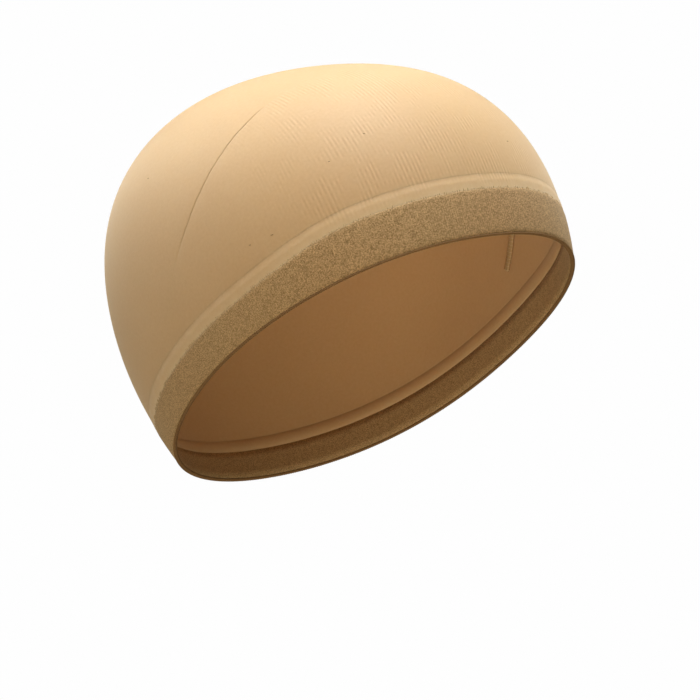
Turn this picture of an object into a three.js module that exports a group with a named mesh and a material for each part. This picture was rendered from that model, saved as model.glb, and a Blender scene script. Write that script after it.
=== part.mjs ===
import * as THREE from 'three';

// A stocking type wig cap: a tube of fine stretch knit, sewn shut across its top and drawn
// out to its worn form, with a doubled elastic band round its slanting open edge.
// Millimetres. The front edge is towards -Y, the nape towards +Y and the right side is -X.
// The origin is on the inner face of the crown, straight above the middle of its sides.

// Hollow inside the cap, measured from its widest level straight below the origin
const hollowHalfBreadth = 74;
const hollowFront = 76.3;
const hollowBack = 113.6;
const hollowRise = 78.8;
const hollowDrop = 114.2;
const hollowTilt = 0.075;

// Fullness of the hollow's outline between its axes, as shares of the radius there
const frontFullness = 0.036;
const rearFullness = 0.035;
const topFullness = 0.037;
const lowerFullness = -0.015;
const rearWidening = 0.2;
const blendWidth = 0.35;
const steepestElevation = 1.4;

// Hem: how far it lies below the origin at the front and at the nape
const hemDropFront = 60.5;
const hemDropNape = 155.8;

// Share of the way from the front's drop to the nape's, in equal turns from front to
// back. Seen from the side the hem runs nearly straight.
const hemSections = [
  { place: 'front', share: 0 },
  { place: 'brow end', share: 0.047 },
  { place: 'temple', share: 0.226 },
  { place: 'ear', share: 0.482 },
  { place: 'behind ear', share: 0.725 },
  { place: 'nape corner', share: 0.923 },
  { place: 'nape', share: 1 },
];

// Knit pieces
const crownWall = 1;
const bandWall = 1.4;
const bandWidthFront = 15;
const bandWidthNape = 12;
const bandNarrowsFrom = 34;
const bandNarrowsTo = 67;
const bandEdgeRadius = 0.6;
const welt = { height: 5.3, crest: 1.4, crestAt: 0.55, swell: 0.75, topWall: 1.05 };
const hemEdge = { height: 1, thickness: 1.7, sides: 8 };
const pieceGap = 0.3;

// Closing seam: it crosses the top in front of the origin and sweeps back towards the ears
const seamForward = 12.3;
const seamSweep = 25;
const seamEndAngle = 92;
const seamWidth = 3;
const seamWall = 0.9;
const seamCreaseDepth = 0.4;
const seamCreaseWidth = 2.2;

// Fineness of the shapes
const columnsPerHalf = 36;
const crownRows = 18;
const climbStep = 2.5;
const lineSamples = 720;
const waleSamples = 60;

// Run of the crown's wales: the share of its length that steers a wale at each end, and the
// share of them at each end of the seam that crowd together
const waleHandle = 0.33;
const seamCloseShare = 0.1;

const up = new THREE.Vector3(0, 0, 1);
const columns = 2 * columnsPerHalf;

// Form of the hollow

// Runs smoothly from 0 at the front or bottom to 1 at the back or top
function blendShare(direction) {
  const slope = direction / Math.hypot(direction, blendWidth);
  return (1 + slope * Math.hypot(1, blendWidth)) / 2;
}

// An ellipsoid whose half lengths change smoothly from front to back and from bottom to
// top, filled out a little between its axes, widened towards the back and tilted back
function hollowPoint(azimuth, elevation) {
  const alongX = Math.cos(elevation) * Math.sin(azimuth);
  const alongY = -Math.cos(elevation) * Math.cos(azimuth);
  const alongZ = Math.sin(elevation);
  const back = blendShare(alongY);
  const top = blendShare(alongZ);
  const squareX = (alongX / hollowHalfBreadth) ** 2;
  const squareY = (alongY / THREE.MathUtils.lerp(hollowFront, hollowBack, back)) ** 2;
  const squareZ = (alongZ / THREE.MathUtils.lerp(hollowDrop, hollowRise, top)) ** 2;
  const total = squareX + squareY + squareZ;
  const planFullness = THREE.MathUtils.lerp(frontFullness, rearFullness, back);
  const sideFullness = THREE.MathUtils.lerp(lowerFullness, topFullness, top);
  const planCorner = (4 * squareX * squareY) / total ** 2;
  const sideCorner = (4 * squareZ * (total - squareZ)) / total ** 2;
  const radius = (1 + planFullness * planCorner + sideFullness * sideCorner) / Math.sqrt(total);
  const y = alongY * radius;
  const x = alongX * radius * (1 + (rearWidening * y) / hollowBack);
  const z = alongZ * radius + hollowTilt * y - hollowRise;
  return new THREE.Vector3(x, y, z);
}

// The azimuth and elevation whose ray passes through a point
function hollowAngles(point) {
  const x = point.x / (1 + (rearWidening * point.y) / hollowBack);
  const z = point.z + hollowRise - hollowTilt * point.y;
  return { azimuth: Math.atan2(x, -point.y), elevation: Math.atan2(z, Math.hypot(x, point.y)) };
}

function onHollow(point) {
  const { azimuth, elevation } = hollowAngles(point);
  return hollowPoint(azimuth, elevation);
}

// Outward direction square to the hollow, from two short steps along its surface
function hollowNormal(point) {
  const shortStep = 0.5;
  const outward = point.clone();
  outward.z += hollowRise;
  const first = new THREE.Vector3().crossVectors(outward, up);
  if (first.lengthSq() < shortStep) first.set(1, 0, 0);
  first.setLength(shortStep);
  const second = new THREE.Vector3().crossVectors(outward, first).setLength(shortStep);
  const across = onHollow(point.clone().add(first)).sub(onHollow(point.clone().sub(first)));
  const along = onHollow(point.clone().add(second)).sub(onHollow(point.clone().sub(second)));
  const normal = new THREE.Vector3().crossVectors(across, along).normalize();
  return normal.dot(outward) < 0 ? normal.negate() : normal;
}

function lifted(point, height) {
  return point.clone().addScaledVector(hollowNormal(point), height);
}

// Hem line

// A cosine series that passes through every row of the hem's table
function cosineSeries(shares) {
  const last = shares.length - 1;
  const endWeight = (index) => (index === 0 || index === last ? 0.5 : 1);
  return shares.map((unused, order) => {
    const terms = shares.map(
      (share, index) => endWeight(index) * share * Math.cos((Math.PI * order * index) / last),
    );
    return (2 / last) * endWeight(order) * terms.reduce((sum, term) => sum + term, 0);
  });
}

const hemSeries = cosineSeries(hemSections.map((section) => section.share));

function hemPoint(azimuth) {
  const share = hemSeries.reduce((sum, term, order) => sum + term * Math.cos(order * azimuth), 0);
  const level = -THREE.MathUtils.lerp(hemDropFront, hemDropNape, share);
  const range = { low: -steepestElevation, high: steepestElevation };
  const halvings = 40;
  for (let turn = 0; turn < halvings; turn += 1) {
    const middle = (range.low + range.high) / 2;
    if (hollowPoint(azimuth, middle).z > level) range.high = middle;
    else range.low = middle;
  }
  return hollowPoint(azimuth, range.low);
}

// A path on the hollow through samples of a function of a share 0 to 1, which gives
// points by their length along it
function hollowPath(curve, samples) {
  const points = Array.from({ length: samples + 1 }, (unused, i) => onHollow(curve(i / samples)));
  const path = new THREE.CatmullRomCurve3(points);
  path.arcLengthDivisions = samples;
  return path;
}

function evenPoints(curve, count) {
  return hollowPath(curve, lineSamples).getSpacedPoints(count).map(onHollow);
}

// Closing seam line, across the crown from its right end to its left one
function seamPoint(share) {
  const turn = THREE.MathUtils.degToRad(THREE.MathUtils.lerp(-seamEndAngle, seamEndAngle, share));
  const sweep = (turn / (Math.PI / 2)) ** 2;
  const y = seamSweep * sweep - seamForward;
  const point = new THREE.Vector3(0, y, 0);
  let radius = hollowHalfBreadth;
  const rounds = 8;
  for (let round = 0; round < rounds; round += 1) {
    point.set(radius * Math.sin(turn), y, radius * Math.cos(turn) - hollowRise);
    const seated = onHollow(point);
    radius = Math.hypot(seated.x, seated.z + hollowRise);
  }
  return point;
}

const seamPath = hollowPath(seamPoint, lineSamples);
const seamPoints = seamPath.getSpacedPoints(columnsPerHalf).map(onHollow);

// Hem columns, from below the seam's right end round the front to the left and back
const sideAzimuth = hollowAngles(seamPoints[0]).azimuth;
const frontHem = evenPoints(
  (share) => hemPoint(THREE.MathUtils.lerp(sideAzimuth, -sideAzimuth, share)),
  columnsPerHalf,
);
const rearHem = evenPoints(
  (share) => hemPoint(THREE.MathUtils.lerp(-sideAzimuth, 2 * Math.PI + sideAzimuth, share)),
  columnsPerHalf,
);
const hemRing = [...frontHem.slice(0, columnsPerHalf), ...rearHem.slice(0, columnsPerHalf)];

// Columns from one to the nearer end of the seam
function columnsFromEnd(column) {
  const half = column % columnsPerHalf;
  return Math.min(half, columnsPerHalf - half);
}

// Where a column meets the seam, and the seam's heading there. Columns meet it evenly, but
// near its ends their way in grows with the square of their number, so that they turn round
// its end like parabolas. Front and rear columns meet in pairs.
function seamMeeting(column) {
  const near = columnsFromEnd(column) / columnsPerHalf;
  const close = seamCloseShare;
  const wayIn = (near < close ? near ** 2 / (2 * close) : near - close / 2) / (1 - close);
  const share = column < columnsPerHalf / 2 || column > 1.5 * columnsPerHalf ? wayIn : 1 - wayIn;
  return { end: onHollow(seamPath.getPointAt(share)), ahead: seamPath.getTangentAt(share) };
}

// Upward direction on the hollow, square to a ring of points round it
function climbDirection(ring, column) {
  const next = ring[(column + 1) % columns];
  const previous = ring[(column + columns - 1) % columns];
  const along = next.clone().sub(previous);
  return hollowNormal(ring[column]).cross(along).normalize();
}

// The ring moved up over the hollow by one distance for each column
function climbedBy(ring, heights) {
  const steps = Math.max(1, Math.ceil(Math.max(...heights.map(Math.abs)) / climbStep));
  let moved = ring;
  for (let step = 0; step < steps; step += 1) {
    const from = moved;
    moved = from.map((point, column) =>
      onHollow(point.clone().addScaledVector(climbDirection(from, column), heights[column] / steps)),
    );
  }
  return moved;
}

function climbed(ring, height) {
  return climbedBy(ring, ring.map(() => height));
}

// Band width in each column: wide at the front, narrower where the knit is drawn tighter
const bandWidths = hemRing.map((point) => {
  const turn = Math.abs(THREE.MathUtils.radToDeg(hollowAngles(point).azimuth));
  const share = THREE.MathUtils.smoothstep(turn, bandNarrowsFrom, bandNarrowsTo);
  return THREE.MathUtils.lerp(bandWidthFront, bandWidthNape, share);
});

const bandFoot = climbed(hemRing, hemEdge.height / 2 + pieceGap);
const bandTop = climbedBy(bandFoot, bandWidths);
const weltFoot = climbed(bandTop, pieceGap);
const weltTop = climbed(weltFoot, welt.height);
const crownFoot = climbed(weltTop, pieceGap);

// Closed bodies

function meshOf(name, colour, roughness, vertices, triangles) {
  const geometry = new THREE.BufferGeometry();
  geometry.setAttribute(
    'position',
    new THREE.Float32BufferAttribute(vertices.flatMap((vertex) => vertex.toArray()), 3),
  );
  geometry.setIndex(triangles.flat());
  geometry.computeVertexNormals();
  const material = new THREE.MeshStandardMaterial({ color: colour, roughness, metalness: 0 });
  const mesh = new THREE.Mesh(geometry, material);
  mesh.name = name;
  return mesh;
}

// Two triangles for each cell between two rows of vertex numbers. The cells' diagonals
// lean to the nearer end of the closing seam, where its cells are narrow.
function rowTriangles(lower, upper) {
  return lower.flatMap((unused, column) => {
    const next = (column + 1) % lower.length;
    const [a, b, c, d] = [lower[column], lower[next], upper[next], upper[column]];
    const leansBack = column % columnsPerHalf < columnsPerHalf / 2;
    return leansBack ? [[a, b, d], [b, c, d]] : [[a, b, c], [a, c, d]];
  });
}

function turnedOver(triangles) {
  return triangles.map(([a, b, c]) => [a, c, b]);
}

// A ring whose closed section is given as rows of points, one row after the other
function ringBody(name, colour, roughness, rows) {
  const numbers = rows.map((row, level) => row.map((unused, column) => level * columns + column));
  const triangles = numbers.flatMap((row, level) =>
    rowTriangles(row, numbers[(level + 1) % rows.length]),
  );
  return meshOf(name, colour, roughness, rows.flat(), triangles);
}

// Rows between two rings, each a share of the way up and lifted off the hollow
function beltRows(foot, top, sections) {
  return sections.map(({ share, lift }) =>
    foot.map((point, column) => lifted(onHollow(point.clone().lerp(top[column], share)), lift)),
  );
}

function hemEdgeBody() {
  const rows = Array.from({ length: hemEdge.sides }, (unused, side) => {
    const turn = (2 * Math.PI * side) / hemEdge.sides;
    const height = (-hemEdge.height / 2) * Math.cos(turn);
    const lift = (hemEdge.thickness / 2) * (1 + Math.sin(turn));
    return climbed(hemRing, height).map((point) => lifted(point, lift));
  });
  return ringBody('hem_edge', 0x74562f, 0.9, rows);
}

function bandBody() {
  const edgeShare = bandEdgeRadius / bandWidthNape;
  const edgeLift = bandWall - bandEdgeRadius / 2;
  const sections = [
    { share: 0, lift: edgeLift },
    { share: edgeShare, lift: bandWall },
    { share: 0.5, lift: bandWall },
    { share: 1 - edgeShare, lift: bandWall },
    { share: 1, lift: edgeLift },
    { share: 1, lift: 0 },
    { share: 0.5, lift: 0 },
    { share: 0, lift: 0 },
  ];
  return ringBody('band', 0x9b8058, 0.95, beltRows(bandFoot, bandTop, sections));
}

// The soft roll above the band swells to its crest and runs out level with the crown
function afterWeltBody() {
  const footLift = bandWall - bandEdgeRadius / 2;
  const riseLift = THREE.MathUtils.lerp(footLift, welt.crest, welt.swell);
  const fallLift = THREE.MathUtils.lerp(welt.topWall, welt.crest, welt.swell);
  const sections = [
    { share: 0, lift: footLift },
    { share: welt.crestAt / 2, lift: riseLift },
    { share: welt.crestAt, lift: welt.crest },
    { share: (1 + welt.crestAt) / 2, lift: fallLift },
    { share: 1, lift: welt.topWall },
    { share: 1, lift: 0 },
    { share: 0, lift: 0 },
  ];
  return ringBody('after_welt', 0xc6a67e, 0.9, beltRows(weltFoot, weltTop, sections));
}

// Wales of the crown: each leaves the welt square to it and meets the seam square to that
const seamRing = crownFoot.map((unused, column) => seamMeeting(column));
const wales = crownFoot.map((start, column) => {
  const { end, ahead } = seamRing[column];
  const handle = waleHandle * start.distanceTo(end);
  const aside = columnsFromEnd(column) * start.distanceTo(crownFoot[(column + 1) % columns]);
  const bend = start.clone().addScaledVector(climbDirection(crownFoot, column), handle);
  const arrival = hollowNormal(end).cross(ahead).normalize();
  const side = column > columnsPerHalf ? -1 : 1;
  const lastBend = end.clone().addScaledVector(arrival, -side * Math.min(aside, handle));
  const curve = new THREE.CubicBezierCurve3(start, bend, lastBend, end);
  return hollowPath((share) => curve.getPoint(share), waleSamples);
});

// Points on every wale at one row; the last but one row lies a crease's width from the seam
function crownRow(row) {
  return wales.map((wale, column) => {
    if (row === crownRows) return seamRing[column].end;
    const creaseShare = 1 - seamCreaseWidth / wale.getLength();
    return onHollow(wale.getPointAt((creaseShare * row) / (crownRows - 1)));
  });
}

// The crown is a tube of two faces that close on themselves along the seam
function crownBody() {
  const innerRows = Array.from({ length: crownRows + 1 }, (unused, row) => crownRow(row));
  const outerRows = innerRows.map((row, level) => {
    const lift = level === crownRows ? crownWall - seamCreaseDepth : crownWall;
    return row.map((point) => lifted(point, lift));
  });
  const number = (face, row, column) => {
    const shared = row === crownRows && column > columnsPerHalf ? columns - column : column;
    return (face * (crownRows + 1) + row) * columns + shared;
  };
  const numbersOf = (face) =>
    innerRows.map((points, row) => points.map((unused, column) => number(face, row, column)));
  const outer = numbersOf(0);
  const inner = numbersOf(1);
  const triangles = rowTriangles(inner[0], outer[0]);
  for (let row = 0; row < crownRows; row += 1) {
    triangles.push(...rowTriangles(outer[row], outer[row + 1]));
    triangles.push(...turnedOver(rowTriangles(inner[row], inner[row + 1])));
  }
  return meshOf('crown', 0xc9aa80, 0.85, [...outerRows, ...innerRows].flat(2), triangles);
}

// The seam's turned in edge is a flat strip that lies against the inside of the crown
function crownSeamBody() {
  const corners = [
    { side: 1, lift: -pieceGap },
    { side: -1, lift: -pieceGap },
    { side: -1, lift: -pieceGap - seamWall },
    { side: 1, lift: -pieceGap - seamWall },
  ];
  const vertices = seamPoints.flatMap((point, index) => {
    const next = seamPoints[Math.min(index + 1, columnsPerHalf)];
    const previous = seamPoints[Math.max(index - 1, 0)];
    const sideways = hollowNormal(point).cross(next.clone().sub(previous)).normalize();
    return corners.map(({ side, lift }) => {
      const edge = onHollow(point.clone().addScaledVector(sideways, (side * seamWidth) / 2));
      return lifted(edge, lift);
    });
  });
  const count = corners.length;
  const sectionNumbers = seamPoints.map((unused, index) =>
    corners.map((corner, side) => index * count + side),
  );
  const triangles = [];
  for (let index = 0; index < columnsPerHalf; index += 1) {
    triangles.push(...rowTriangles(sectionNumbers[index], sectionNumbers[index + 1]));
  }
  const [first, last] = [sectionNumbers[0], sectionNumbers[columnsPerHalf]];
  triangles.push([first[0], first[2], first[1]], [first[0], first[3], first[2]]);
  triangles.push([last[0], last[1], last[2]], [last[0], last[2], last[3]]);
  return meshOf('crown_seam', 0xa98a60, 0.9, vertices, triangles);
}

const wigCap = new THREE.Group();
wigCap.name = 'wig_cap';
wigCap.add(crownBody());
wigCap.add(crownSeamBody());
wigCap.add(afterWeltBody());
wigCap.add(bandBody());
wigCap.add(hemEdgeBody());

export default wigCap;
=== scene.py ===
"""A stocking type wig cap of sheer stretch knit, held out to its worn form.

A fine knitted tube is sewn shut across its top, and ends in a doubled elastic band with a
dark covered edge. Lengths in this script are millimetres and repeat the part's own sizes,
and each mesh is turned to metres as it is made. The front edge is towards -Y.
"""

import math
import bpy
import numpy as np
from mathutils import Matrix, Vector


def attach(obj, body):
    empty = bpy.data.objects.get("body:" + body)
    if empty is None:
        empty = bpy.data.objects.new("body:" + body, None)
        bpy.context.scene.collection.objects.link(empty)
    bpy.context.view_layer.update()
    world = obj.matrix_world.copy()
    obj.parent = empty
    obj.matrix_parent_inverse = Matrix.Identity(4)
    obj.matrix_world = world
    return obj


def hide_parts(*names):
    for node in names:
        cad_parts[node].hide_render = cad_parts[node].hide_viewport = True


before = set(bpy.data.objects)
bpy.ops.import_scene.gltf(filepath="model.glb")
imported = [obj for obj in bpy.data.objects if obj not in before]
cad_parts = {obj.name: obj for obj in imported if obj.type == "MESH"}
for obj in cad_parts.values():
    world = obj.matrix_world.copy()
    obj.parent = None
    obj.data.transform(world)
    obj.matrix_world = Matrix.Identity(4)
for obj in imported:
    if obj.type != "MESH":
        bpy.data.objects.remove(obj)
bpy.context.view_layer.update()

METRES = 0.001

# Hollow inside the cap, measured from its widest level
HOLLOW_HALF_BREADTH = 74
HOLLOW_FRONT = 76.3
HOLLOW_BACK = 113.6
HOLLOW_RISE = 78.8
HOLLOW_DROP = 114.2
HOLLOW_TILT = 0.075
FRONT_FULLNESS = 0.036
REAR_FULLNESS = 0.035
TOP_FULLNESS = 0.037
LOWER_FULLNESS = -0.015
REAR_WIDENING = 0.2
BLEND_WIDTH = 0.35
STEEPEST_ELEVATION = 1.4

# Hem: its drop below the origin at the front and the nape, and the shares between them
HEM_DROP_FRONT = 60.5
HEM_DROP_NAPE = 155.8
HEM_SHARES = [0, 0.047, 0.226, 0.482, 0.725, 0.923, 1]

# Knit pieces
CROWN_WALL = 1.0
BAND_WALL = 1.4
BAND_WIDTH_FRONT = 15
BAND_WIDTH_NAPE = 12
BAND_NARROWS_FROM = 34
BAND_NARROWS_TO = 67
BAND_EDGE_RADIUS = 0.6
WELT_HEIGHT = 5.3
WELT_CREST = 1.24
WELT_CREST_AT = 0.5
WELT_TOP_WALL = 0.99
EDGE_HEIGHT = 1
EDGE_THICKNESS = 1.7
EDGE_HALF_HEIGHT = 0.38
EDGE_HALF_DEPTH = 0.72
PIECE_GAP = 0.3

# Closing seam over the top
SEAM_FORWARD = 12.3
SEAM_SWEEP = 25
SEAM_END_ANGLE = 92
SEAM_WIDTH = 3
SEAM_WALL = 0.9

# Crease that the seam draws into the crown, and the wider dimple beside it
CREASE_DEPTH = 0.09
CREASE_HALF_WIDTH = 0.45
DIMPLE_DEPTH = 0.05
DIMPLE_HALF_WIDTH = 2

# Heights of the band's ribs and radii of the threads
RIB_HEIGHT = 0.04
STITCH_RADIUS = 0.11
BAND_STITCH_RADIUS = 0.12
WINDING_RADIUS = 0.12
OVERLOCK_RADIUS = 0.14
SEAM_THREAD_RADIUS = 0.1
LINT_RADIUS = 0.09

# Knit counts: wales round the crown, ribs round the band, and stitches
WALES = 430
BAND_RIBS = 720
OVERLOCK_PITCH = 1.5
WINDING_PITCH = 0.9

# Fineness of the meshes
RING_COLUMNS = 720
CROWN_COLUMNS = 360
CROWN_ROWS = 84
BAND_COLUMNS = 2880
CLIMB_STEP = 2.5

# Run of the crown's wales: the share of its length that steers a wale at each end, and the
# share of them at each end of the seam that crowd together
WALE_HANDLE = 0.33
SEAM_CLOSE_SHARE = 0.1


# Form of the hollow

def blend_share(direction):
    """Runs smoothly from 0 at the front or bottom to 1 at the back or top."""
    slope = direction / np.hypot(direction, BLEND_WIDTH)
    return (1 + slope * math.hypot(1, BLEND_WIDTH)) / 2


def between(low, high, share):
    return low + (high - low) * share


def hollow_point(azimuth, elevation):
    """An ellipsoid whose half lengths change smoothly from front to back and from bottom to
    top, filled out between its axes, widened towards the back and tilted back."""
    along_x = np.cos(elevation) * np.sin(azimuth)
    along_y = -np.cos(elevation) * np.cos(azimuth)
    along_z = np.sin(elevation)
    back, top = blend_share(along_y), blend_share(along_z)
    square_x = (along_x / HOLLOW_HALF_BREADTH) ** 2
    square_y = (along_y / between(HOLLOW_FRONT, HOLLOW_BACK, back)) ** 2
    square_z = (along_z / between(HOLLOW_DROP, HOLLOW_RISE, top)) ** 2
    total = square_x + square_y + square_z
    plan = 4 * square_x * square_y / total**2 * between(FRONT_FULLNESS, REAR_FULLNESS, back)
    side = 4 * square_z * (total - square_z) / total**2 * between(LOWER_FULLNESS, TOP_FULLNESS, top)
    radius = (1 + plan + side) / np.sqrt(total)
    y = along_y * radius
    x = along_x * radius * (1 + REAR_WIDENING * y / HOLLOW_BACK)
    z = along_z * radius + HOLLOW_TILT * y - HOLLOW_RISE
    return np.stack([x, y, z], axis=-1)


def hollow_angles(points):
    """The azimuth and elevation whose ray passes through each point."""
    x, y, z = np.moveaxis(points, -1, 0)
    x = x / (1 + REAR_WIDENING * y / HOLLOW_BACK)
    z = z + HOLLOW_RISE - HOLLOW_TILT * y
    return np.arctan2(x, -y), np.arctan2(z, np.hypot(x, y))


def on_hollow(points):
    return hollow_point(*hollow_angles(points))


def unit(vectors):
    return vectors / np.linalg.norm(vectors, axis=-1, keepdims=True)


def hollow_normal(points):
    """Outward direction square to the hollow: the cross product of two short steps on it."""
    short_step = 0.5
    outward = points + [0, 0, HOLLOW_RISE]
    across = np.cross(outward, [0.013, 0.007, 1])
    first = unit(across) * short_step
    second = unit(np.cross(outward, first)) * short_step
    one = on_hollow(points + first) - on_hollow(points - first)
    other = on_hollow(points + second) - on_hollow(points - second)
    normal = unit(np.cross(one, other))
    return normal * np.sign((normal * outward).sum(-1, keepdims=True))


def lifted(points, height):
    """The points moved off the hollow by a height, which may differ from point to point."""
    return points + hollow_normal(points) * np.asarray(height, float)[..., None]


# Rings and lines on the hollow

def spread(points, shares):
    """Points at shares of the length of a line of points, set back on the hollow."""
    steps = np.linalg.norm(np.diff(points, axis=0), axis=1)
    lengths = np.concatenate([[0], np.cumsum(steps)])
    wanted = shares * lengths[-1]
    return on_hollow(np.stack([np.interp(wanted, lengths, axis) for axis in points.T], -1))


def even(points, count):
    return spread(points, np.linspace(0, 1, count + 1))


def hem_point(azimuth):
    """The hem at an azimuth: its level follows a cosine series through HEM_SHARES, and its
    place on the hollow at that level is found by halving."""
    last = len(HEM_SHARES) - 1
    order = np.arange(last + 1)
    weight = np.where(order % last == 0, 0.5, 1)
    waves = np.cos(np.pi * np.outer(order, order) / last)
    terms = 2 / last * weight * (waves @ (weight * HEM_SHARES))
    level = -between(HEM_DROP_FRONT, HEM_DROP_NAPE, np.cos(np.outer(azimuth, order)) @ terms)
    low = np.full(azimuth.shape, -STEEPEST_ELEVATION)
    high = -low
    for _ in range(40):
        middle = (low + high) / 2
        above = hollow_point(azimuth, middle)[:, 2] > level
        low, high = np.where(above, low, middle), np.where(above, middle, high)
    return hollow_point(azimuth, low)


def seam_line(count):
    """The closing seam from its right end to its left one: a curve over the top that lies
    forward of the origin and sweeps back with the square of its turn."""
    turn = np.radians(np.linspace(-SEAM_END_ANGLE, SEAM_END_ANGLE, RING_COLUMNS + 1))
    y = SEAM_SWEEP * (turn / (math.pi / 2)) ** 2 - SEAM_FORWARD
    radius = np.full(turn.shape, float(HOLLOW_HALF_BREADTH))
    for _ in range(8):
        points = np.stack([radius * np.sin(turn), y, radius * np.cos(turn) - HOLLOW_RISE], -1)
        seated = on_hollow(points)
        radius = np.hypot(seated[:, 0], seated[:, 2] + HOLLOW_RISE)
    return even(points, count)


def hem_ring():
    """The hem from below the seam's right end round the front to its left end, and back."""
    half = RING_COLUMNS // 2
    side = hollow_angles(seam_line(half)[0])[0]
    front = hem_point(np.linspace(side, -side, RING_COLUMNS + 1))
    rear = hem_point(np.linspace(-side, 2 * math.pi + side, RING_COLUMNS + 1))
    return np.concatenate([even(front, half)[:-1], even(rear, half)[:-1]])


def climb_direction(ring):
    along = np.roll(ring, -1, axis=0) - np.roll(ring, 1, axis=0)
    return unit(np.cross(hollow_normal(ring), along))


def climbed(ring, heights):
    """The ring moved up over the hollow, square to itself, in short steps."""
    heights = np.broadcast_to(heights, len(ring))
    steps = max(1, math.ceil(np.abs(heights).max() / CLIMB_STEP))
    for _ in range(steps):
        ring = on_hollow(ring + climb_direction(ring) * heights[:, None] / steps)
    return ring


def with_columns(ring, columns):
    """The ring with another number of columns, which start at the same place."""
    at = np.arange(columns) * len(ring) / columns
    closed = np.concatenate([ring, ring[:1]])
    own = np.arange(len(closed))
    return on_hollow(np.stack([np.interp(at, own, axis) for axis in closed.T], -1))


def smooth_step(value, low, high):
    share = np.clip((value - low) / (high - low), 0, 1)
    return share * share * (3 - 2 * share)


hem = hem_ring()
hem_turn = np.abs(np.degrees(hollow_angles(hem)[0]))
band_width = between(
    BAND_WIDTH_FRONT, BAND_WIDTH_NAPE, smooth_step(hem_turn, BAND_NARROWS_FROM, BAND_NARROWS_TO)
)
band_foot = climbed(hem, EDGE_HEIGHT / 2 + PIECE_GAP)
band_top = climbed(band_foot, band_width)
welt_foot = climbed(band_top, PIECE_GAP)
welt_top = climbed(welt_foot, WELT_HEIGHT)
crown_hem = climbed(welt_top, 0.02)
HEM_LENGTH = float(np.linalg.norm(hem - np.roll(hem, 1, axis=0), axis=1).sum())


# Meshes

def put_mesh(name, points, faces, material, uv=None):
    """A piece from points in millimetres and a list of face arrays, one for each number of
    corners. It rides on the part's one body."""
    mesh = bpy.data.meshes.new(name)
    corners = np.concatenate([block.ravel() for block in faces])
    sizes = np.concatenate([np.full(len(block), block.shape[1]) for block in faces])
    mesh.vertices.add(len(points))
    mesh.vertices.foreach_set("co", (points * METRES).astype(np.float32).ravel())
    mesh.loops.add(len(corners))
    mesh.loops.foreach_set("vertex_index", corners.astype(np.int32))
    mesh.polygons.add(len(sizes))
    starts = np.concatenate([[0], np.cumsum(sizes)[:-1]])
    mesh.polygons.foreach_set("loop_start", starts.astype(np.int32))
    mesh.polygons.foreach_set("use_smooth", np.ones(len(sizes), bool))
    mesh.update(calc_edges=True)
    if uv is not None:
        layer = mesh.uv_layers.new(name="knit")
        layer.data.foreach_set("uv", uv.astype(np.float32).ravel())
    mesh.validate()
    mesh.materials.append(material)
    piece = bpy.data.objects.new(name, mesh)
    bpy.context.scene.collection.objects.link(piece)
    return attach(piece, "root")


def ring_cells(rows, columns, closed_section):
    """Cells between neighbouring rows of a ring, as vertex numbers and as grid places."""
    last = rows if closed_section else rows - 1
    row, column = np.meshgrid(np.arange(last), np.arange(columns), indexing="ij")
    row, column = row.ravel(), column.ravel()
    rows_of = np.stack([row, row, row + 1, row + 1], -1)
    columns_of = np.stack([column, column + 1, column + 1, column], -1)
    return rows_of, columns_of


def ring_piece(name, rows, lengths, material):
    """A ring with a closed section. rows holds the section's points from the foot of its
    outer face up, over and down the inner face; lengths is each row's way along it."""
    count, columns = rows.shape[:2]
    rows_of, columns_of = ring_cells(count, columns, True)
    quads = (rows_of % count) * columns + columns_of % columns
    along = np.concatenate([lengths, [lengths[-1] + (lengths[-1] - lengths[-2])]])
    uv = np.stack([columns_of / columns, along[rows_of] / HEM_LENGTH], -1)
    return put_mesh(name, rows.reshape(-1, 3), [quads], material, uv.reshape(-1, 2))


def thread(name, paths, toward, radius, material, sides=6, closed=False):
    """Round threads along paths of equally many points. Each section is a circle square to
    its path, set out from toward, a direction that the path never follows."""
    ahead = np.roll(paths, -1, axis=1) - np.roll(paths, 1, axis=1)
    if not closed:
        ahead[:, 0] = paths[:, 1] - paths[:, 0]
        ahead[:, -1] = paths[:, -1] - paths[:, -2]
    first = unit(np.cross(ahead, toward))
    second = unit(np.cross(ahead, first))
    turn = 2 * math.pi * np.arange(sides) / sides
    circle = first[:, :, None] * np.cos(turn)[:, None] + second[:, :, None] * np.sin(turn)[:, None]
    points = paths[:, :, None] + radius * circle
    threads, count = paths.shape[:2]
    start = np.arange(threads)[:, None, None] * count * sides
    step = np.arange(count if closed else count - 1)[None, :, None]
    side = np.arange(sides)[None, None, :]
    here, there = start + step * sides, start + (step + 1) % count * sides
    quads = np.stack([here + side, there + side, there + (side + 1) % sides,
                      here + (side + 1) % sides], -1).reshape(-1, 4)
    faces = [quads]
    if not closed:
        ends = start[:, 0] + np.arange(sides)
        faces += [ends, ends[:, ::-1] + (count - 1) * sides]
    return put_mesh(name, points.reshape(-1, 3), faces, material)


# Materials

def linear(code):
    """An sRGB hex colour as linear RGBA."""
    shares = [int(code[at:at + 2], 16) / 255 for at in (1, 3, 5)]
    return [s / 12.92 if s <= 0.04045 else ((s + 0.055) / 1.055) ** 2.4 for s in shares] + [1]


def add(tree, kind, values=(), links=(), **settings):
    """Adds one node: settings go on the node itself, values and links on its sockets."""
    made = tree.nodes.new(kind)
    for name, value in settings.items():
        setattr(made, name, value)
    for socket, value in dict(values).items():
        made.inputs[socket].default_value = value
    for socket, source in dict(links).items():
        tree.links.new(source, made.inputs[socket])
    return made


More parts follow.
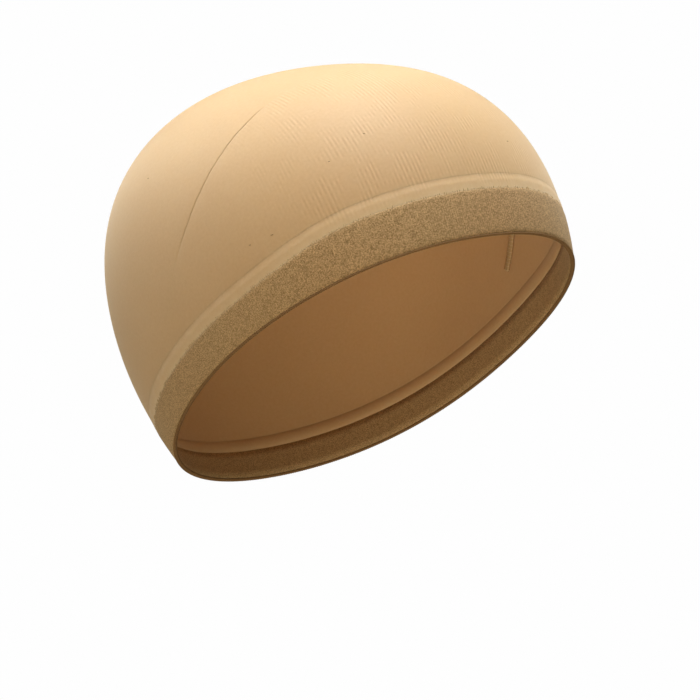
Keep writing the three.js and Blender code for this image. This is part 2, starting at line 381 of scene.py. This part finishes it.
def cloth_material(name, roughness, sheen, through):
    """A new material: its node tree and its shader, matt with a soft sheen, and letting a
    little light through."""
    material = bpy.data.materials.new(name)
    material.use_nodes = True
    tree = material.node_tree
    shader = tree.nodes["Principled BSDF"]
    shader.inputs["Roughness"].default_value = roughness
    shader.inputs["Specular IOR Level"].default_value = 0.3
    shader.inputs["IOR"].default_value = 1.53
    shader.inputs["Sheen Weight"].default_value = sheen
    shader.inputs["Sheen Roughness"].default_value = 0.5
    shader.inputs["Sheen Tint"].default_value = linear("#fbeed6")
    shader.inputs["Subsurface Weight"].default_value = through
    shader.inputs["Subsurface Radius"].default_value = (1.0, 0.85, 0.7)
    shader.inputs["Subsurface Scale"].default_value = 2.5 * METRES
    return material, tree, shader


def sheer_knit(name, foot_share, foot_tone):
    """Plain jersey knitted from fine stretch nylon: pale, almost smooth, with a silky sheen.
    Its wales are thin columns of stitches with a slightly darker furrow between them. They
    show in patches over the front, where the cap is drawn tightest, and hardly at the
    back. Wales 1.3 mm apart are coarser than the real ones, so that they show. At the foot
    of the piece their contrast falls to foot_share, and the knit turns to foot_tone."""
    material, tree, shader = cloth_material(name, 0.62, 0.38, 0.5)
    place = add(tree, "ShaderNodeUVMap", uv_map="knit").outputs["UV"]
    body = add(tree, "ShaderNodeTexCoord").outputs["Object"]
    apart = add(tree, "ShaderNodeSeparateXYZ", links={0: place})
    uneven = add(tree, "ShaderNodeMapping", {"Scale": (WALES / 1.7, 14, 1)}, {"Vector": place})
    streaks = add(tree, "ShaderNodeTexNoise", {"Scale": 1, "Detail": 2, "Roughness": 0.6},
                  {"Vector": uneven.outputs[0]})
    count = add(tree, "ShaderNodeMath", {1: 2 * math.pi * WALES}, {0: apart.outputs["X"]},
                operation="MULTIPLY")
    turn = add(tree, "ShaderNodeMath", {1: 2.5}, {0: streaks.outputs["Fac"], 2: count.outputs[0]},
               operation="MULTIPLY_ADD")
    wave = add(tree, "ShaderNodeMath", links={0: turn.outputs[0]}, operation="COSINE")
    round_hem = add(tree, "ShaderNodeMath", {1: 2 * math.pi}, {0: apart.outputs["X"]},
                    operation="MULTIPLY")
    forward = add(tree, "ShaderNodeMath", links={0: round_hem.outputs[0]}, operation="SINE")
    drawn = add(tree, "ShaderNodeMapRange", {1: 0.74, 2: 0.97, 3: 0.04, 4: 0.95},
                {0: forward.outputs[0]})
    patches = add(tree, "ShaderNodeTexNoise", {"Scale": 95, "Detail": 3}, {"Vector": body})
    patchy = add(tree, "ShaderNodeMapRange", {1: 0.44, 2: 0.62, 3: 0.05, 4: 1.1},
                 {0: patches.outputs["Fac"]})
    shown = add(tree, "ShaderNodeMath", links={0: drawn.outputs[0], 1: patchy.outputs[0]},
                operation="MULTIPLY")
    broken = add(tree, "ShaderNodeTexNoise", {"Scale": 420, "Detail": 1}, {"Vector": body})
    loops = add(tree, "ShaderNodeMapRange", {1: 0.35, 2: 0.65, 3: 0.3, 4: 1.7},
                {0: broken.outputs["Fac"]})
    foot = add(tree, "ShaderNodeMapRange", {1: 0, 2: WELT_HEIGHT / HEM_LENGTH, 3: foot_share, 4: 1},
               {0: apart.outputs["Y"]})
    whole = add(tree, "ShaderNodeMath", links={0: shown.outputs[0], 1: loops.outputs[0]},
                operation="MULTIPLY")
    held = add(tree, "ShaderNodeMath", links={0: whole.outputs[0], 1: foot.outputs[0]},
               operation="MULTIPLY")
    wales = add(tree, "ShaderNodeMath", links={0: wave.outputs[0], 1: held.outputs[0]},
                operation="MULTIPLY")
    furrow = add(tree, "ShaderNodeMapRange", {1: -1, 2: 1, 3: 0, 4: 1}, {0: wales.outputs[0]})
    grain = add(tree, "ShaderNodeTexNoise", {"Scale": 900, "Detail": 2, "Roughness": 0.6},
                {"Vector": body})
    clouds = add(tree, "ShaderNodeTexNoise", {"Scale": 20, "Detail": 1}, {"Vector": body})
    knit = add(tree, "ShaderNodeMix", {6: linear("#c49f6f"), 7: linear("#d5b282")},
               {0: furrow.outputs[0]}, data_type="RGBA")
    faded = add(tree, "ShaderNodeMix", {6: linear(foot_tone)}, {0: foot.outputs[0], 7: knit.outputs[2]},
                data_type="RGBA")
    grained = add(tree, "ShaderNodeMix", {0: 0.16}, {6: faded.outputs[2], 7: grain.outputs["Fac"]},
                  data_type="RGBA", blend_type="SOFT_LIGHT")
    toned = add(tree, "ShaderNodeMix", {0: 0.12}, {6: grained.outputs[2], 7: clouds.outputs["Fac"]},
                data_type="RGBA", blend_type="SOFT_LIGHT")
    tree.links.new(toned.outputs[2], shader.inputs["Base Color"])
    relief = add(tree, "ShaderNodeMath", {1: 0.3}, {0: grain.outputs["Fac"], 2: wales.outputs[0]},
                 operation="MULTIPLY_ADD")
    bump = add(tree, "ShaderNodeBump", {"Strength": 0.4, "Distance": 0.02 * METRES},
               {"Height": relief.outputs[0]})
    tree.links.new(bump.outputs[0], shader.inputs["Normal"])
    return material


def speckled_knit(name, dark, light, warm, cell, rib_share, relief, through):
    """Elastic knit of covered thread: dark and light stitches lie mixed like salt and
    pepper, in faint ribs square to the hem, and parts of it are of a warmer tone. Each
    stitch is cell millimetres wide and relief millimetres high."""
    material, tree, shader = cloth_material(name, 0.85, 0.2, through)
    place = add(tree, "ShaderNodeUVMap", uv_map="knit").outputs["UV"]
    size = HEM_LENGTH / cell
    stitch = add(tree, "ShaderNodeMapping", {"Scale": (size, 1.25 * size, 1)}, {"Vector": place})
    cells = add(tree, "ShaderNodeTexVoronoi", {"Scale": 1, "Randomness": 0.9},
                {"Vector": stitch.outputs[0]}, voronoi_dimensions="2D")
    tones = add(tree, "ShaderNodeSeparateColor", links={0: cells.outputs["Color"]})
    apart = add(tree, "ShaderNodeSeparateXYZ", links={0: place})
    turn = add(tree, "ShaderNodeMath", {1: 2 * math.pi * BAND_RIBS}, {0: apart.outputs["X"]},
               operation="MULTIPLY")
    wave = add(tree, "ShaderNodeMath", links={0: turn.outputs[0]}, operation="COSINE")
    mixed = add(tree, "ShaderNodeMath", {1: rib_share}, {0: wave.outputs[0], 2: tones.outputs[0]},
                operation="MULTIPLY_ADD", use_clamp=True)
    body = add(tree, "ShaderNodeTexCoord").outputs["Object"]
    patches = add(tree, "ShaderNodeTexNoise", {"Scale": 30, "Detail": 1}, {"Vector": body})
    tone = add(tree, "ShaderNodeMix", {6: linear(light), 7: linear(warm)},
               {0: patches.outputs["Fac"]}, data_type="RGBA")
    colour = add(tree, "ShaderNodeMix", {6: linear(dark)},
                 {0: mixed.outputs[0], 7: tone.outputs[2]}, data_type="RGBA")
    tree.links.new(colour.outputs[2], shader.inputs["Base Color"])
    bump = add(tree, "ShaderNodeBump", {"Strength": 0.5, "Distance": relief * METRES},
               {"Height": cells.outputs["Distance"]})
    bump.invert = True
    tree.links.new(bump.outputs[0], shader.inputs["Normal"])
    return material


def spun_thread(name, dark, light, roughness):
    """Sewing thread of spun nylon: matt, with slightly paler fibres along it."""
    material, tree, shader = cloth_material(name, roughness, 0.1, 0.05)
    body = add(tree, "ShaderNodeTexCoord").outputs["Object"]
    fibres = add(tree, "ShaderNodeTexNoise", {"Scale": 2500, "Detail": 2}, {"Vector": body})
    colour = add(tree, "ShaderNodeMix", {6: linear(dark), 7: linear(light)},
                 {0: fibres.outputs["Fac"]}, data_type="RGBA")
    tree.links.new(colour.outputs[2], shader.inputs["Base Color"])
    bump = add(tree, "ShaderNodeBump", {"Strength": 0.4, "Distance": 0.05 * METRES},
               {"Height": fibres.outputs["Fac"]})
    tree.links.new(bump.outputs[0], shader.inputs["Normal"])
    return material


crown_knit = sheer_knit("sheer_nylon_knit", 1, "#d5b282")
welt_knit = sheer_knit("welt_knit", 0.2, "#e2c598")
band_knit = speckled_knit("band_knit", "#8c7044", "#ccab79", "#d3a976", 0.26, 0.05, 0.03, 0.15)
edge_thread = spun_thread("edge_thread", "#664a26", "#987345", 0.85)
seam_thread = spun_thread("seam_thread", "#b99866", "#cfae80", 0.8)
knit_thread = spun_thread("knit_thread", "#cdac7c", "#dfc196", 0.6)
band_thread = spun_thread("band_thread", "#a98a5d", "#cdad7d", 0.8)
lint = spun_thread("lint", "#6b5334", "#9a7d55", 0.95)


# Crown

def seam_shares():
    """The share of the seam where each column of the crown ends. Columns meet it evenly,
    but near its ends their way in grows with the square of their number, so that they turn
    round its end like parabolas. Front and rear columns meet in pairs."""
    half = CROWN_COLUMNS // 2
    column = np.arange(CROWN_COLUMNS)
    share = np.where(column <= half, column, CROWN_COLUMNS - column) / half
    near = np.minimum(share, 1 - share)
    close = SEAM_CLOSE_SHARE
    inside = np.where(near < close, near**2 / (2 * close), near - close / 2) / (1 - close)
    return np.where(share < 0.5, inside, 1 - inside), near


def wale_rows():
    """Points of the crown's wales, (rows, columns, 3), from its foot to the seam. Each wale
    is a cubic curve that leaves the welt square to it and meets the seam square to that.
    Its rows are even along it, with a few close ones at both ends."""
    start = with_columns(crown_hem, CROWN_COLUMNS)
    shares, near = seam_shares()
    seam = seam_line(2 * RING_COLUMNS)
    short = 0.5 / RING_COLUMNS
    end = spread(seam, shares)
    ahead = spread(seam, np.minimum(shares + short, 1)) - spread(seam, np.maximum(shares - short, 0))
    rearward = np.where(np.arange(CROWN_COLUMNS) <= CROWN_COLUMNS // 2, 1, -1)[:, None]
    arrival = unit(np.cross(hollow_normal(end), ahead)) * rearward
    reach = np.linalg.norm(end - start, axis=1, keepdims=True)
    aside = near[:, None] * HEM_LENGTH / 2
    bend = start + climb_direction(start) * reach * WALE_HANDLE
    last_bend = end - arrival * np.minimum(aside, reach * WALE_HANDLE)
    share = np.linspace(0, 1, 241)[:, None, None]
    rest = 1 - share
    line = on_hollow(rest**3 * start + 3 * rest**2 * share * bend
                     + 3 * rest * share**2 * last_bend + share**3 * end)
    steps = np.linalg.norm(np.diff(line, axis=0), axis=-1)
    lengths = np.concatenate([np.zeros((1, CROWN_COLUMNS)), np.cumsum(steps, axis=0)])
    from_foot = np.array([0, 0.07, 0.2, 0.5, 1.1])
    from_seam = np.array([2.6, 1.9, 1.35, 0.95, 0.65, 0.4, 0.2, 0])
    even_rows = np.linspace(0, 1, CROWN_ROWS - len(from_foot) - len(from_seam) + 1, endpoint=False)[1:]
    top_row = lengths[-1] - from_seam[:, None]
    wanted = np.concatenate([np.repeat(from_foot[:, None], CROWN_COLUMNS, axis=1),
                             between(from_foot[-1], top_row[0], even_rows[:, None]), top_row])
    below = (lengths[None] <= wanted[:, None]).sum(axis=1).clip(1, len(line) - 1)
    low, high = (np.take_along_axis(lengths, at, axis=0) for at in (below - 1, below))
    part = ((wanted - low) / (high - low))[..., None]
    first, second = (np.take_along_axis(line, at[..., None], axis=0) for at in (below - 1, below))
    return on_hollow(between(first, second, part)), wanted, lengths[-1]


def seam_pull(shares):
    """How hard the seam is drawn in, 0 to 1: it runs out at both ends, and lies nearly flat
    across the middle of the top."""
    near = np.minimum(shares, 1 - shares)
    return smooth_step(near, 0.02, 0.14) * (1 - 0.85 * smooth_step(near, 0.29, 0.37))


def make_crown():
    """One shell from the wales: an outer face with the seam's crease, an inner face, and a
    rim at the foot. Both faces close along the seam, where front and rear columns join."""
    rows, way, reach = wale_rows()
    count, columns = rows.shape[:2]
    half = columns // 2
    from_seam = reach - way
    drawn = seam_pull(seam_shares()[0])
    crease = drawn * (CREASE_DEPTH * np.exp(-(from_seam / CREASE_HALF_WIDTH) ** 2)
                      + DIMPLE_DEPTH * np.exp(-(from_seam / DIMPLE_HALF_WIDTH) ** 2))
    outer = lifted(rows, CROWN_WALL - crease)
    inner = lifted(rows, np.zeros(rows.shape[:2]))
    points = np.concatenate([outer, inner]).reshape(-1, 3)

    def number(face, row, column):
        column = column % columns
        shared = np.where((row == count - 1) & (column > half), columns - column, column)
        return (face * count + row) * columns + shared

    rows_of, columns_of = ring_cells(count, columns, False)
    outside = number(0, rows_of, columns_of)
    inside = number(1, rows_of, columns_of)[:, ::-1]
    foot = np.arange(columns)
    rim = np.stack([number(1, 0, foot), number(1, 0, foot + 1), number(0, 0, foot + 1),
                    number(0, 0, foot)], -1)
    height = way / HEM_LENGTH
    outside_uv = np.stack([columns_of / columns, height[rows_of, columns_of % columns]], -1)
    inside_uv = (outside_uv + [0, 0.5])[:, ::-1]
    rim_uv = np.stack([np.stack([foot, foot + 1, foot + 1, foot], -1) / columns,
                       np.tile([-0.002, -0.002, 0, 0], (columns, 1))], -1)
    uv = np.concatenate([block.reshape(-1, 2) for block in (outside_uv, inside_uv, rim_uv)])
    return put_mesh("crown", points, [outside, inside, rim], crown_knit, uv)


# Band, welt and hem

def belt(foot, top, shares, lifts):
    """Rows between two rings: a share of the way up, set on the hollow and lifted off it."""
    rows = [on_hollow(between(foot, top, share)) for share in shares]
    return np.stack([lifted(row, np.broadcast_to(lift, len(row))) for row, lift in zip(rows, lifts)])


def make_welt():
    """The soft roll above the band: its lift rises in a half wave to the crest and falls in
    another to the crown's wall. Its edges run on under the band and into the crown."""
    around = 2 * math.pi * np.arange(RING_COLUMNS) / RING_COLUMNS
    sway = 0.04 * (np.sin(53 * around) + 0.6 * np.sin(91 * around + 2))
    shares = np.linspace(0, 1, 15)
    foot_lift = BAND_WALL - BAND_EDGE_RADIUS / 3
    rise = (1 - np.cos(np.pi * np.clip(shares / WELT_CREST_AT, 0, 1))) / 2
    fall = (1 - np.cos(np.pi * np.clip((1 - shares) / (1 - WELT_CREST_AT), 0, 1))) / 2
    lifts = np.where(shares < WELT_CREST_AT, between(foot_lift, WELT_CREST, rise),
                     between(WELT_TOP_WALL, WELT_CREST, fall))
    outer = [lift + sway * math.sin(math.pi * share) for share, lift in zip(shares, lifts)]
    outer_shares = np.concatenate([[-0.12], shares, [1.12]])
    outer = [outer[0] - 0.05, *outer, outer[-1] - 0.08]
    foot, top = climbed(welt_foot, -0.25), welt_top
    inner_shares = [1, 0.5, 0]
    rows = belt(foot, top, [*outer_shares, *inner_shares], [*outer, 0, 0, 0])
    inner_lengths = WELT_HEIGHT * (2 - np.array(inner_shares)) + 2
    lengths = np.concatenate([outer_shares * WELT_HEIGHT, inner_lengths])
    return ring_piece("after_welt", rows, lengths, welt_knit)


def make_band():
    """The doubled band: ribs stand square to the hem, four columns to a rib, and fade
    towards the band's upper edge; both edges are rounded."""
    foot, top = climbed(hem, 0.3), climbed(band_top, 0.12)
    foot, top = with_columns(foot, BAND_COLUMNS), with_columns(top, BAND_COLUMNS)
    rib = RIB_HEIGHT * np.cos(2 * math.pi * np.arange(BAND_COLUMNS) * BAND_RIBS / BAND_COLUMNS)
    body = np.linspace(0.03, 0.97, 13)
    shares = np.concatenate([[0, 0.01], body, [0.99, 1]])
    edge = 1 - np.clip(np.minimum(shares, 1 - shares) / 0.03, 0, 1)
    round_off = BAND_EDGE_RADIUS * (1 - np.sqrt(1 - edge**2 * 0.75))
    outer = [BAND_WALL - drop + rib * (1 - 0.6 * share) for share, drop in zip(shares, round_off)]
    inner_shares = [1, 0.75, 0.5, 0.25, 0]
    inner = [rib * 0] * len(inner_shares)
    rows = belt(foot, top, [*shares, *inner_shares], [*outer, *inner])
    width = BAND_WIDTH_NAPE
    lengths = np.concatenate([shares * width, width * (2 - np.array(inner_shares)) + 2])
    return ring_piece("band", rows, lengths, band_knit)


def edge_core(angle, grown):
    """Height and lift of the hem edge's oval section at an angle, with its half sizes grown
    by a length."""
    height = -(EDGE_HALF_HEIGHT + grown) * np.cos(angle)
    lift = EDGE_THICKNESS / 2 + (EDGE_HALF_DEPTH + grown) * np.sin(angle)
    return height, lift


def make_edge():
    sides = 12
    rows = []
    for angle in 2 * math.pi * np.arange(sides) / sides:
        height, lift = edge_core(angle, 0)
        rows.append(lifted(climbed(hem, height), np.full(len(hem), lift)))
    around = math.pi * EDGE_HEIGHT / sides
    return ring_piece("hem_edge", np.stack(rows), np.arange(sides) * around, edge_thread)


def make_winding():
    """Thread wound round the hem edge: a spiral round its oval section."""
    turns = int(round(HEM_LENGTH / WINDING_PITCH))
    steps = 10
    count = turns * steps
    at = np.arange(count) / count
    ring = with_columns(hem, count)
    upward = climb_direction(ring)
    normal = hollow_normal(ring)
    height, lift = edge_core(2 * math.pi * turns * at, 0.03)
    path = ring + upward * height[:, None] + normal * lift[:, None]
    along = unit(np.roll(ring, -1, axis=0) - np.roll(ring, 1, axis=0))
    return thread("hem_winding", path[None], along[None], WINDING_RADIUS, edge_thread, sides=5, closed=True)


# Stitching

def make_seam():
    """The seam's turned in allowance: a flat strip against the inside of the crown, with
    rounded edges."""
    half = RING_COLUMNS // 2
    line = seam_line(half)
    ahead = unit(np.gradient(line, axis=0))
    sideways = unit(np.cross(hollow_normal(line), ahead))
    sides = 10
    turn = 2 * math.pi * np.arange(sides) / sides
    across = SEAM_WIDTH / 2 * np.cos(turn)
    depth = -PIECE_GAP - SEAM_WALL / 2 * (1 - np.sin(turn))
    rows = []
    for side, lift in zip(across, depth):
        rows.append(lifted(on_hollow(line + sideways * side), np.full(len(line), lift)))
    points = np.stack(rows, axis=1)
    step, side = np.meshgrid(np.arange(half), np.arange(sides), indexing="ij")
    step, side, after = step.ravel(), side.ravel(), (side.ravel() + 1) % sides
    quads = np.stack([step * sides + side, step * sides + after,
                      (step + 1) * sides + after, (step + 1) * sides + side], -1)
    ends = np.arange(sides)[None]
    faces = [quads, ends[:, ::-1], ends + half * sides]
    return put_mesh("crown_seam", points.reshape(-1, 3), faces, seam_thread)


def make_overlock():
    """Overlock thread: a flattened spiral round the seam's allowance."""
    half = RING_COLUMNS // 2
    line = seam_line(half)
    length = float(np.linalg.norm(np.diff(line, axis=0), axis=1).sum())
    turns = int(length / OVERLOCK_PITCH)
    steps = 12
    count = turns * steps
    fine = even(line, count)
    ahead = unit(np.gradient(fine, axis=0))
    normal = hollow_normal(fine)
    sideways = unit(np.cross(normal, ahead))
    turn = 2 * math.pi * np.arange(count + 1) / steps
    side = (SEAM_WIDTH / 2 + 0.12) * np.cos(turn)
    lift = -PIECE_GAP - SEAM_WALL / 2 + (SEAM_WALL / 2 + 0.02) * np.sin(turn)
    path = fine + sideways * side[:, None] + normal * lift[:, None]
    return thread("seam_overlock", path[None], ahead[None], OVERLOCK_RADIUS, knit_thread, sides=5)


def make_seam_thread():
    """The seam's outer thread: it lies in the crease and wavers a little from side to side,
    and sinks into the knit where the seam lies flat."""
    fine = seam_line(3 * RING_COLUMNS)
    shares = np.linspace(0, 1, len(fine))
    ahead = unit(np.gradient(fine, axis=0))
    normal = hollow_normal(fine)
    sideways = unit(np.cross(normal, ahead))
    waver = 0.07 * np.sin(shares * 1900) + 0.12 * np.sin(shares * 127) + 0.1 * np.sin(shares * 311)
    lift = CROWN_WALL - CREASE_DEPTH - 0.3 * (1 - seam_pull(shares))
    path = fine + sideways * waver[:, None] + normal * lift[:, None]
    return thread("seam_thread", path[None], normal[None], SEAM_THREAD_RADIUS, seam_thread, sides=6)


def loop_row(name, ring, count, reach, radius, lift, material, seed, sunk):
    """Small stitches that stand side by side across a join: each is an arch from one side
    of the ring to the other, a little uneven in length. Each is sunk in the knit by up to
    sunk times its radius."""
    at = with_columns(ring, count)
    upward = climb_direction(at)
    normal = hollow_normal(at)
    along = unit(np.roll(at, -1, axis=0) - np.roll(at, 1, axis=0))
    random = np.random.default_rng(seed)
    share = np.linspace(-1, 1, 6)
    length = reach * random.uniform(0.6, 1.2, count)[:, None]
    lean = 0.15 * random.uniform(-1, 1, count)[:, None]
    depth = radius * sunk * random.uniform(0, 1, count)[:, None]
    height = lift - depth + radius * 0.4 * (1 - share**2) - radius * share**4
    path = (at[:, None] + upward[:, None] * (share * length)[..., None]
            + normal[:, None] * height[..., None] + along[:, None] * (lean * share)[..., None])
    toward = np.repeat(along[:, None], len(share), axis=1)
    return thread(name, path, toward, radius, material, sides=5)


# Lint on the crown: azimuth and elevation in degrees, and half length in millimetres
LINT = [(-33.6, 45.4, 0.35), (-45.3, 37.8, 0.3), (-61, 19.8, 0.45), (-67.4, 17.3, 0.3), (25, 40, 0.3),
        (118, 22, 0.35), (160, 5, 0.3), (-120, 30, 0.3), (-150, 12, 0.3), (70, 18, 0.3)]


def make_lint():
    """Short fibres caught in the knit: bent threads that lie on the crown."""
    azimuth, elevation, size = np.array(LINT).T
    at = hollow_point(np.radians(azimuth), np.radians(elevation))
    normal = hollow_normal(at)
    heading = unit(np.cross(normal, [0.3, 0.2, 1])) + 0.6 * unit(np.cross(normal, [1, 0.1, 0.2]))
    sideways = unit(np.cross(normal, heading))
    share = np.linspace(-1, 1, 7)
    path = (at[:, None] + unit(heading)[:, None] * (share * size[:, None])[..., None]
            + sideways[:, None] * (0.4 * size[:, None] * np.sin(2.5 * share))[..., None]
            + normal[:, None] * (CROWN_WALL + 0.05))
    toward = np.repeat(normal[:, None], len(share), axis=1)
    return thread("lint", path, toward, LINT_RADIUS, lint, sides=5)


crown = make_crown()
after_welt = make_welt()
band = make_band()
hem_edge = make_edge()
winding = make_winding()
crown_seam = make_seam()
overlock = make_overlock()
outer_thread = make_seam_thread()
join_ring = climbed(welt_top, -0.2)
welt_stitches = loop_row("welt_stitches", join_ring, WALES, 0.4, STITCH_RADIUS, CROWN_WALL - 0.08,
                         knit_thread, 3, 3)
edge_ring = climbed(band_top, PIECE_GAP / 2)
band_stitches = loop_row("band_stitches", edge_ring, BAND_RIBS, 0.7, BAND_STITCH_RADIUS, BAND_WALL - 0.1,
                         band_thread, 5, 3)
fibres = make_lint()

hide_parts("crown")
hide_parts("after_welt")
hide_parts("band")
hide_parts("hem_edge")
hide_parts("crown_seam")


# Stage, light and camera

CENTRE = Vector((0, 0, -HOLLOW_RISE * METRES))
FLOOR_LEVEL = -1.3


def make_sweep():
    """A pale floor that curves up into a round backdrop. It shows to the camera alone, so
    that it stays even."""
    rise = np.radians(np.linspace(0, 90, 13))
    radius = np.concatenate([[0.02, 0.5, 1.2], 1.6 + 0.9 * np.sin(rise), [2.5]]) / METRES
    height = (FLOOR_LEVEL + np.concatenate([[0, 0, 0], 0.9 * (1 - np.cos(rise)), [2.2]])) / METRES
    turn = 2 * math.pi * np.arange(96) / 96
    points = np.stack([radius[:, None] * np.cos(turn), radius[:, None] * np.sin(turn),
                       np.repeat(height[:, None], 96, axis=1)], -1)
    rows_of, columns_of = ring_cells(len(radius), 96, False)
    quads = rows_of * 96 + columns_of % 96
    material = bpy.data.materials.new("paper_sweep")
    material.use_nodes = True
    tree = material.node_tree
    glow = add(tree, "ShaderNodeEmission", {"Color": linear("#fefefe"), "Strength": 1.0})
    tree.links.new(glow.outputs[0], tree.nodes["Material Output"].inputs["Surface"])
    mesh = bpy.data.meshes.new("sweep")
    middle = list(range(96))[::-1]
    mesh.from_pydata((points.reshape(-1, 3) * METRES).tolist(), [], [*quads.tolist(), middle])
    mesh.materials.append(material)
    sweep = bpy.data.objects.new("sweep", mesh)
    bpy.context.scene.collection.objects.link(sweep)
    sweep.visible_diffuse = sweep.visible_glossy = False
    sweep.visible_transmission = sweep.visible_shadow = False


def make_light(name, place, size, power, colour):
    """A square soft light at a place in metres, turned to the middle of the cap."""
    lamp = bpy.data.lights.new(name, "AREA")
    lamp.shape = "SQUARE"
    lamp.size = size
    lamp.energy = power
    lamp.color = linear(colour)[:3]
    light = bpy.data.objects.new(name, lamp)
    light.location = place
    light.rotation_euler = (CENTRE - Vector(place)).to_track_quat("-Z", "Y").to_euler()
    light.visible_camera = False
    bpy.context.scene.collection.objects.link(light)


def make_camera():
    """The photograph's view: from the front right, a little above, tilted a few degrees.
    The picture is 700 pixels wide, and the form's middle stands off its centre."""
    azimuth, elevation, roll = np.radians([-33.96, 4.53, -4.3])
    distance, picture, sensor = 0.8, 700, 36
    pixels_per_radian = 2200.8
    across, above = 17.64 / pixels_per_radian, 65.31 / pixels_per_radian
    back = Vector((math.sin(azimuth) * math.cos(elevation), -math.cos(azimuth) * math.cos(elevation),
                   math.sin(elevation)))
    level = Vector((math.cos(azimuth), math.sin(azimuth), 0))
    steep = back.cross(level)
    right = math.cos(roll) * level + math.sin(roll) * steep
    upward = math.cos(roll) * steep - math.sin(roll) * level
    axis = (back + across * right + above * upward).normalized()
    right = (right - axis * right.dot(axis)).normalized()
    upward = axis.cross(right)
    camera = bpy.data.objects.new("camera", bpy.data.cameras.new("camera"))
    camera.data.sensor_width = sensor
    camera.data.lens = sensor * pixels_per_radian / picture
    turned = Matrix((right, upward, axis)).transposed().to_4x4()
    camera.matrix_world = Matrix.Translation(CENTRE + back * distance) @ turned
    bpy.context.scene.collection.objects.link(camera)
    bpy.context.scene.camera = camera


make_sweep()
make_light("overhead", (0.04, 0, 1.02), 0.8, 21.6, "#f4f8ff")
make_light("rear_fill", (-0.39, 0.67, 0.7), 0.8, 4.8, "#ffffff")
make_light("left_fill", (0.98, 0.17, 0.39), 0.8, 3.2, "#ffeecb")
make_light("low_fill", (-0.78, -0.45, -0.71), 0.8, 3.7, "#fff0da")
make_light("front_fill", (-0.33, -0.9, -0.63), 0.8, 3.0, "#fff4e2")
world = bpy.data.worlds.new("studio")
world.use_nodes = True
world.node_tree.nodes["Background"].inputs["Color"].default_value = linear("#fff2d6")
world.node_tree.nodes["Background"].inputs["Strength"].default_value = 0.15
bpy.context.scene.world = world
bpy.context.scene.view_settings.view_transform = "Standard"
make_camera()
